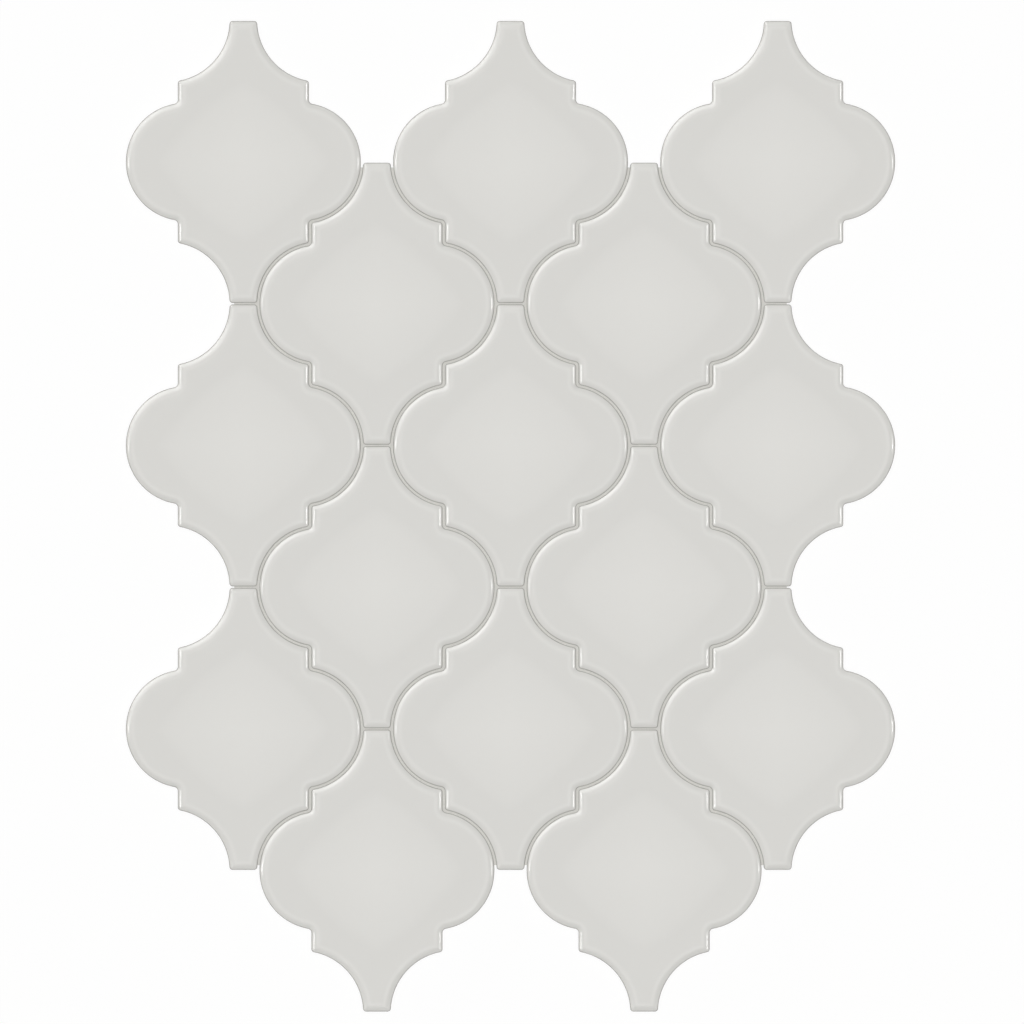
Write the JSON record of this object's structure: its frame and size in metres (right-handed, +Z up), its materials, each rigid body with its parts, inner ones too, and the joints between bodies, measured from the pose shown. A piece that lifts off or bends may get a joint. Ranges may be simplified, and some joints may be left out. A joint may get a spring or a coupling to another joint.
{
  "type": "arabesque mosaic tile sheet",
  "caption": "Sheet of interlocking glossy off-white lantern (arabesque) tiles on a backing scrim, with pale grouted joints and an edge that nests with the next sheet.",
  "frame": {"origin": "centre of the sheet's outline, on the underside of the backing scrim", "axes": "+Z up out of the glazed faces, +Y along the tips of the tiles towards the first row of three, +X along a row"},
  "size_m": [0.2456, 0.3162, 0.0065],
  "materials": {
    "glaze": "gloss",
    "grout": "matte cement",
    "scrim": "coated glass yarn"
  },
  "bodies": {
    "root": {"tile_r1_c1": "glaze", "tile_r1_c2": "glaze", "tile_r1_c3": "glaze", "tile_r2_c1": "glaze", "tile_r2_c2": "glaze", "tile_r3_c1": "glaze", "tile_r3_c2": "glaze", "tile_r3_c3": "glaze", "tile_r4_c1": "glaze", "tile_r4_c2": "glaze", "tile_r5_c1": "glaze", "tile_r5_c2": "glaze", "tile_r5_c3": "glaze", "tile_r6_c1": "glaze", "tile_r6_c2": "glaze", "joint_grout": "grout", "scrim_yarns_across": "scrim", "scrim_yarns_along": "scrim"}
  },
  "joints": []
}
